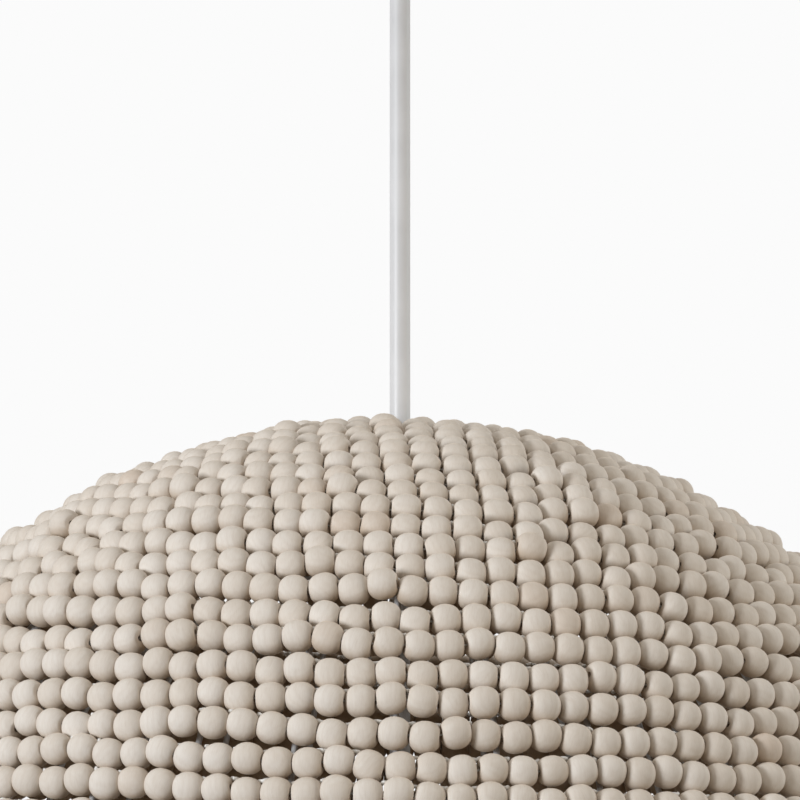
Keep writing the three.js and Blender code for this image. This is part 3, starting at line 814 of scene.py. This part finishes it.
def make_stem():
    """The stem with its lead, and the washer and nuts that hold the frame's hub."""
    make_sleeve("stem", "stem_tube", LEAD_BORE, 96)
    make_lead("stem_lead", "stem_cable", "shade")
    make_sleeve("washer", "hub_washer", TUBE_HOLE, 64)
    make_nut("upper_nut", "hub_nut_upper", "shade", "white_coat")
    make_nut("lower_nut", "hub_nut_lower", "shade", "zinc_steel")


# Swivel
CHEEK_HALF = 6.5 * MM
CHEEK_THICKNESS = 3 * MM
SWIVEL_DISC = 6 * MM
swivel_low, swivel_high, swivel_radius = span("swivel_yoke")
pivot_height = swivel_low + CHEEK_HALF


def cheek_outline(half_width, top):
    return arc((0, 0), half_width, 180, 360, 20) + [(half_width, top), (-half_width, top)]


def make_yoke(hole):
    """A disc that turns on the nipple's flange, with two cheeks that hang from it."""
    disc_low = swivel_high - SWIVEL_DISC
    disc = turned(softened(sleeve(TUBE_HOLE, swivel_radius, disc_low, swivel_high), 0.8 * MM), 96)
    cheek_top = disc_low - pivot_height + SWIVEL_DISC / 2
    cheek = plate(cheek_outline(CHEEK_HALF, cheek_top), [hole], CHEEK_THICKNESS, 0.35 * MM)
    shift = swivel_radius - CHEEK_THICKNESS / 2
    cheeks = [sideways(cheek, side * shift, pivot_height) for side in SIDES]
    piece("yoke", carved("yoke", [disc, *cheeks]), "swivel", "white_coat", ["swivel_yoke"])


def make_knuckle(hole):
    """A head that tilts between the cheeks, on a collar that takes the stem."""
    low, high, _ = span("swivel_knuckle")
    width = 2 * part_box("swivel_knuckle")[1].x
    collar_high = pivot_height - 10.5 * MM
    socket_high = pivot_height - 14 * MM
    outline = [(-x, -y) for x, y in cheek_outline(high - pivot_height, 10.9 * MM)]
    head = sideways(plate(outline, [hole], width, 0.4 * MM), 0, pivot_height)
    collar = turned(softened(rod(width / 2, low, collar_high), 0.7 * MM), 96)
    stem_socket = turned(rod(TUBE_HOLE, low - MM, socket_high), 48)
    lead_way = turned(rod(LEAD_BORE, socket_high - MM, high + MM), 32)
    mesh = carved("knuckle", [head, collar], [stem_socket, lead_way])
    piece("knuckle", mesh, "shade", "white_coat", ["swivel_knuckle"])


def make_swivel():
    hole = arc((0, 0), 2.3 * MM, *ROUND_HOLE)
    make_yoke(hole)
    for side, word in SIDES.items():
        low, high, radius = span(f"pivot_screw_{word}", (0, 0, pivot_height), (side, 0, 0))
        mesh = pan_screw(f"hinge_screw_{word}", low, high, radius, 2 * MM, 2.2 * MM)
        mesh.transform(laid_across(side, pivot_height))
        piece(f"hinge_screw_{word}", mesh, "swivel", "zinc_steel", [f"pivot_screw_{word}"])
    make_knuckle(hole)


# Ceiling fitting
canopy_screw_height = sum(corner.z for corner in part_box("canopy_screw_left")) / 2


def make_canopy():
    low, high, radius = span("canopy")
    wall, corner, edge = 1.5 * MM, 16 * MM, 0.4 * MM
    middle = (radius - corner, low + corner)
    outer = arc(middle, corner, -90, 0, 16)
    inner = arc(middle, corner - wall, 0, -90, 16)
    outline = [(TUBE_HOLE, low), *outer, (radius, high - edge), (radius - edge, high),
               (radius - wall, high), *inner, (TUBE_HOLE, low + wall)]
    mesh = mesh_of("canopy_dish", turned(outline, 160))
    piece("canopy_dish", mesh, "ceiling_fitting", "white_coat", ["canopy"])
    make_nut("canopy_hex_nut", "canopy_nut", "ceiling_fitting", "white_coat")
    for side, word in SIDES.items():
        make_thumb_screw(side, word)


def make_thumb_screw(side, word):
    """A screw with a knurled head, in one side of the canopy."""
    start, end, head = span(f"canopy_screw_{word}", (0, 0, canopy_screw_height), (side, 0, 0))
    seat, shank = end - 6 * MM, 2 * MM
    knurls, depth = 24, 0.35 * MM
    outline = [(0, start), (shank, start), (shank, seat), (head, seat), (head, end), (0, end)]

    def knurled(angle, radius, height):
        return radius - (depth * (0.5 + 0.5 * math.cos(knurls * angle)) if radius > 0.9 * head else 0)
    mesh = mesh_of(f"thumb_screw_{word}", turned(softened(outline, 0.7 * MM), 3 * knurls, knurled), 40)
    mesh.transform(laid_across(side, canopy_screw_height))
    piece(f"thumb_screw_{word}", mesh, "ceiling_fitting", "white_coat", [f"canopy_screw_{word}"])


def make_bracket():
    """The strap under the ceiling: slots for the fixing screws, ends bent down and a threaded boss."""
    low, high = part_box("ceiling_bracket")
    thickness, bevel, drop, slot_place = 2.5 * MM, 0.4 * MM, 14 * MM, 30 * MM
    slots = [round_rectangle(14 * MM, 5 * MM, 2.45 * MM, (side * slot_place, 0), 6) for side in SIDES]
    strap = plate(round_rectangle(2 * high.x, 2 * high.y, 3 * MM), slots, thickness, bevel)
    strap = moved(strap, Matrix.Translation((0, 0, -thickness / 2)))
    hole = arc((0, canopy_screw_height + drop / 2), 2.2 * MM, *ROUND_HOLE)
    tab = plate(round_rectangle(13.2 * MM, drop, 2 * MM), [hole], thickness, bevel)
    tabs = [sideways(tab, side * (high.x - thickness / 2), -drop / 2) for side in SIDES]
    boss = turned(softened(sleeve(TUBE_HOLE, 9 * MM, low.z + 3.5 * MM, -MM), 0.6 * MM), 64)
    mesh = carved("bracket_strap", [strap, *tabs, boss])
    piece("bracket_strap", mesh, "ceiling_fitting", "zinc_steel", ["ceiling_bracket"])


def make_nipple():
    """A threaded hollow nipple with a flange that carries the swivel, and the lead in it."""
    low, high, flange = span("ceiling_nipple")
    crest, root, pitch, edge = 5 * MM, 4.5 * MM, 1 * MM, 0.3 * MM
    flange_top = low + 2 * MM
    outline = [(LEAD_BORE, low + edge), (LEAD_BORE + edge, low), (flange - edge, low),
               (flange, low + edge), (flange, flange_top - edge), (flange - edge, flange_top),
               (root, flange_top)]
    height = flange_top + 0.7 * MM
    while height < high - MM:
        outline += [(crest, height), (crest - 0.4 * MM, height + pitch / 2)]
        height += pitch
    outline += [(root, high), (LEAD_BORE, high)]
    mesh = mesh_of("nipple_thread", turned(outline, 40), 50)
    piece("nipple_thread", mesh, "ceiling_fitting", "zinc_steel", ["ceiling_nipple"])
    make_lead("supply_lead", "ceiling_cable", "ceiling_fitting")


def make_terminal():
    """A three-way terminal block, with a screw over each way."""
    low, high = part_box("terminal_block")
    size, middle = high - low, (low + high) / 2
    well_radius, well_depth, entry_radius, entry_rise = 2.4 * MM, 3 * MM, 1.9 * MM, 1.5 * MM
    block = plate(round_rectangle(size.x, size.y, 1.2 * MM), [], size.z, 0.5 * MM)
    block = moved(block, Matrix.Translation(middle))
    ways, cuts, screws = 3, [], []
    for way in range(ways):
        x = low.x + size.x * (way + 0.5) / ways
        well = turned(rod(well_radius, low.z - MM, low.z + well_depth), 24)
        cuts.append(moved(well, Matrix.Translation((x, middle.y, 0))))
        entry = turned(rod(entry_radius, -size.y, size.y), 24)
        place = Matrix.Translation((x, middle.y, middle.z + entry_rise))
        cuts.append(moved(entry, place @ Matrix.Rotation(math.pi / 2, 4, "X")))
        screw = pan_screw("screw", 0, 2 * MM, entry_radius, 1.5 * MM, 1 * MM)
        place = Matrix.Translation((x, middle.y, low.z + well_depth + 0.2 * MM))
        screw.transform(place @ Matrix.Rotation(math.pi, 4, "X"))
        points = np.array([vertex.co for vertex in screw.vertices])
        screws.append((points, [list(face.vertices) for face in screw.polygons]))
    mesh = carved("terminal_strip", [block], cuts)
    piece("terminal_strip", mesh, "ceiling_fitting", "white_plastic", ["terminal_block"])
    mesh = mesh_of("terminal_screws", combined(screws))
    piece("terminal_screws", mesh, "ceiling_fitting", "zinc_steel")


# Lamp cluster
CLUSTER_HALF = 17 * MM
CLUSTER_RADIUS = 20 * MM
ARM_RADIUS = 11 * MM
ARM_LENGTH = 34 * MM
LAMP_SPLAY = math.radians(60)
LAMP_TURNS = {1: math.radians(30), 2: math.radians(150), 3: math.radians(270)}
cluster_centre = Vector((0, 0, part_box("cluster_body")[1].z - CLUSTER_HALF))


def lamp_matrix(number):
    """Takes a solid made along Z at the origin to its place along a lamp's own axis."""
    turn = Matrix.Rotation(LAMP_TURNS[number], 4, "Z") @ Matrix.Rotation(math.pi - LAMP_SPLAY, 4, "Y")
    return Matrix.Translation(cluster_centre) @ turn


def lamp_span(node_name, number):
    axis = lamp_matrix(number).to_3x3() @ Vector((0, 0, 1))
    return span(f"{node_name}_{number}", cluster_centre, axis)


def lamp_piece(name, number, part, body, slot, node_name, crease=CREASE):
    mesh = mesh_of(f"{name}_{number}", part, crease)
    mesh.transform(lamp_matrix(number))
    piece(f"{name}_{number}", mesh, body, slot, [f"{node_name}_{number}"])


def make_cluster():
    """A drum with an arm to each lamp, hollow where the stem and its lead go in."""
    drum = turned(softened(rod(CLUSTER_RADIUS, -CLUSTER_HALF, CLUSTER_HALF), 2.5 * MM, 6), 96)
    arm = turned(softened(rod(ARM_RADIUS, 0, ARM_LENGTH), MM), 64)
    parts = [moved(drum, Matrix.Translation(cluster_centre))]
    parts += [moved(arm, lamp_matrix(number)) for number in LAMP_TURNS]
    top = cluster_centre.z + CLUSTER_HALF + MM
    socket = turned(rod(TUBE_HOLE, top - 9.8 * MM, top), 48)
    way = turned(rod(LEAD_BORE, cluster_centre.z - 9 * MM, top - 9 * MM), 32)
    piece("cluster", carved("cluster", parts, [socket, way]), "shade", "white_coat", ["cluster_body"])


def make_holder(number):
    """A lamp holder: a neck, a body with ridges round it and an open mouth."""
    low, high, radius = lamp_span("lamp_holder", number)
    neck, cavity, edge = 12 * MM, 13.6 * MM, 0.6 * MM
    shoulder, body_start, cavity_floor = low + 8 * MM, low + 14 * MM, low + 22 * MM
    groove, ridge_width, ridge_pitch = radius - 0.45 * MM, 1.8 * MM, 2.6 * MM
    outline = [(0, low), (neck - edge, low), (neck, low + edge), (neck, shoulder),
               (radius - MM, body_start), (groove, body_start + MM)]
    height = body_start + 2 * MM
    while height < high - 9 * MM:
        outline += [(groove, height), (radius, height + ridge_width / 2), (groove, height + ridge_width)]
        height += ridge_pitch
    outline += [(groove, high - 7 * MM), (radius, high - 6.5 * MM), (radius, high - edge),
                (radius - edge, high), (cavity + 0.4 * MM, high), (cavity, high - 0.4 * MM),
                (cavity, cavity_floor), (0, cavity_floor)]
    lamp_piece("holder", number, turned(outline, 96), "shade", "white_plastic", "lamp_holder")


def make_ring(number):
    """The ring round a holder, with grooves to grip it by."""
    low, high, radius = lamp_span("holder_ring", number)
    grips, depth = 30, 0.7 * MM
    outline = softened(sleeve(radius - 3 * MM, radius, low, high), 0.7 * MM)

    def gripped(angle, reach, height):
        return reach - (depth * max(0, math.cos(grips * angle)) ** 3 if reach > radius - 0.1 * MM else 0)
    ring = turned(outline, 6 * grips, gripped)
    lamp_piece("shade_ring", number, ring, "shade", "white_plastic", "holder_ring")


def make_cap(number):
    """A bulb's screw cap, with a contact at its foot and a rolled thread that fades at both ends."""
    low, high, radius = lamp_span("bulb_cap", number)
    pitch, depth, thread_start = 3.6 * MM, 0.55 * MM, low + 5 * MM
    root, thread_length = radius - depth, high - MM - thread_start
    outline = [(0, low), (3.6 * MM, low + 0.2 * MM), (4.6 * MM, low + 1.2 * MM),
               (5 * MM, low + 1.6 * MM), (9.5 * MM, low + 3 * MM), (radius - 1.5 * MM, low + 4 * MM),
               (root, thread_start)]
    steps = 8 * round(thread_length / pitch)
    outline += [(root, thread_start + thread_length * step / steps) for step in range(1, steps + 1)]
    outline += [(radius - 0.5 * MM, high), (0, high)]

    def threaded(angle, reach, height):
        if abs(reach - root) > 0.01 * MM:
            return reach
        fade = max(0, min(1, (height - thread_start) / pitch, (high - height) / pitch))
        return reach + depth * fade * math.cos(2 * math.pi * height / pitch - angle)
    cap = turned(outline, 48, threaded)
    lamp_piece("screw_cap", number, cap, f"bulb_{number}", "nickel_cap", "bulb_cap", 60)


def make_glass(number):
    """A bulb's glass: a neck that flows into a round head."""
    low, high, radius = lamp_span("bulb_glass", number)
    neck, edge, flow_start, flow_steps = 13.5 * MM, 0.5 * MM, low + 6 * MM, 12
    centre, meet = high - radius, -35
    sine, cosine = math.sin(math.radians(meet)), math.cos(math.radians(meet))
    join_height, join_radius = centre + radius * sine, radius * cosine
    tangent = (join_height - flow_start) / (-cosine / sine)
    outline = [(0, low), (neck - edge, low), (neck, low + edge), (neck, flow_start)]
    for step in range(1, flow_steps):
        t = step / flow_steps
        reach = (join_radius - neck) * (3 * t * t - 2 * t ** 3) + tangent * (t ** 3 - t * t)
        outline.append((neck + reach, flow_start + (join_height - flow_start) * t))
    outline += arc((0, centre), radius, meet, 90, 20)[:-1] + [(0, high)]
    glass = turned(outline, 72)
    lamp_piece("glass", number, glass, f"bulb_{number}", "opal_glass", "bulb_glass", 60)


# Studio
CAMERA_DISTANCE = 4.77
CAMERA_PITCH = math.radians(4.0)
CAMERA_LENS = 442
CAMERA_SENSOR = 36
FLOOR_HEIGHT = -2.6
FLOOR_HALF = 40
FLOOR_SHADE = 0.15
WHITE = (0.965, 0.965, 0.965, 1)
LIGHT_BELOW = (0.055, 0.036, 0.02)
LIGHT_ABOVE = (0.62, 0.585, 0.54)


def make_camera():
    """The camera stands level with the dome's centre and looks a little upward."""
    camera = placed_object("camera", bpy.data.cameras.new("camera"))
    camera.location = (0, -CAMERA_DISTANCE, DOME_CENTRE)
    camera.rotation_euler = (math.pi / 2 + CAMERA_PITCH, 0, 0)
    camera.data.sensor_width = CAMERA_SENSOR
    camera.data.lens = CAMERA_LENS
    camera.data.clip_end = 100
    bpy.context.scene.camera = camera


def area_light(name, place, size, power, color):
    """A square lamp that shines at the middle of the dome's upper half."""
    light = placed_object(name, bpy.data.lights.new(name, "AREA"))
    light.data.size = size
    light.data.energy = power
    light.data.color = color
    light.location = place
    target = Vector((0, 0, DOME_CENTRE + 0.15))
    light.rotation_euler = (target - Vector(place)).to_track_quat("-Z", "Y").to_euler()


def make_lights():
    """A large lamp from the left, a weak warm one from the right and a weak cool one behind that."""
    area_light("key", (-3.3, -2.95, -0.1), size=1.2, power=148, color=(0.925, 0.955, 0.995))
    area_light("fill", (3.4, -1.9, -0.5), size=1.6, power=27, color=(1.0, 0.89, 0.74))
    area_light("rim", (3.6, 0.3, 0.35), size=1.6, power=36, color=(0.84, 0.93, 1.0))


def seen_directly(tree):
    """1 for what the camera, gloss and glass see, and 0 for the light that falls on a surface."""
    path = node(tree, "ShaderNodeLightPath").outputs
    seen = path["Is Camera Ray"]
    for kind in ("Is Glossy Ray", "Is Transmission Ray"):
        seen = node(tree, "ShaderNodeMath", {0: seen, 1: path[kind]}, operation="MAXIMUM").outputs[0]
    return seen


def mix_shader(tree, factor, first, second):
    return node(tree, "ShaderNodeMixShader", {0: factor, 1: first, 2: second}).outputs[0]


def make_world():
    """Soft light, brighter and cooler from above. Camera, gloss and glass see plain white."""
    world = bpy.data.worlds.new("studio")
    world.use_nodes = True
    bpy.context.scene.world = world
    tree = world.node_tree
    tree.nodes.clear()
    direction = node(tree, "ShaderNodeTexCoord").outputs["Generated"]
    height = node(tree, "ShaderNodeSeparateXYZ", {0: direction}).outputs["Z"]
    color = mix_color(tree, ramp(tree, height, -0.25, 0.85), LIGHT_BELOW, LIGHT_ABOVE)
    light = node(tree, "ShaderNodeBackground", {"Color": color}).outputs[0]
    white = node(tree, "ShaderNodeBackground", {"Color": WHITE}).outputs[0]
    node(tree, "ShaderNodeOutputWorld", {0: mix_shader(tree, seen_directly(tree), light, white)})


def make_floor():
    """A pale floor far below. It looks nearly as white as the world, and clear from underneath."""
    mesh = bpy.data.meshes.new("floor")
    corners = [(x * FLOOR_HALF, y * FLOOR_HALF, 0) for x, y in ((-1, -1), (1, -1), (1, 1), (-1, 1))]
    mesh.from_pydata(corners, [], [(0, 1, 2, 3)])
    floor = placed_object("floor", mesh)
    floor.location.z = FLOOR_HEIGHT
    material, tree, shader = new_material("floor", (0.9, 0.9, 0.89), 0.9)
    material.cycles.emission_sampling = "NONE"
    white = node(tree, "ShaderNodeEmission", {"Color": WHITE}).outputs[0]
    clear = node(tree, "ShaderNodeBsdfTransparent").outputs[0]
    share = spread(tree, seen_directly(tree), 0, 1 - FLOOR_SHADE)
    top = mix_shader(tree, share, shader.outputs[0], white)
    underside = node(tree, "ShaderNodeNewGeometry").outputs["Backfacing"]
    surface = mix_shader(tree, underside, top, clear)
    tree.links.new(surface, tree.nodes["Material Output"].inputs["Surface"])
    mesh.materials.append(material)
    floor.visible_diffuse = False
    floor.visible_shadow = False


make_camera()
make_strands()
make_wire_frame()
make_stem()
make_swivel()
make_canopy()
make_bracket()
make_nipple()
make_terminal()
make_cluster()
for lamp_number in LAMP_TURNS:
    for make_part in (make_holder, make_ring, make_cap, make_glass):
        make_part(lamp_number)
make_world()
make_floor()
make_lights()
bpy.context.scene.view_settings.view_transform = "Standard"
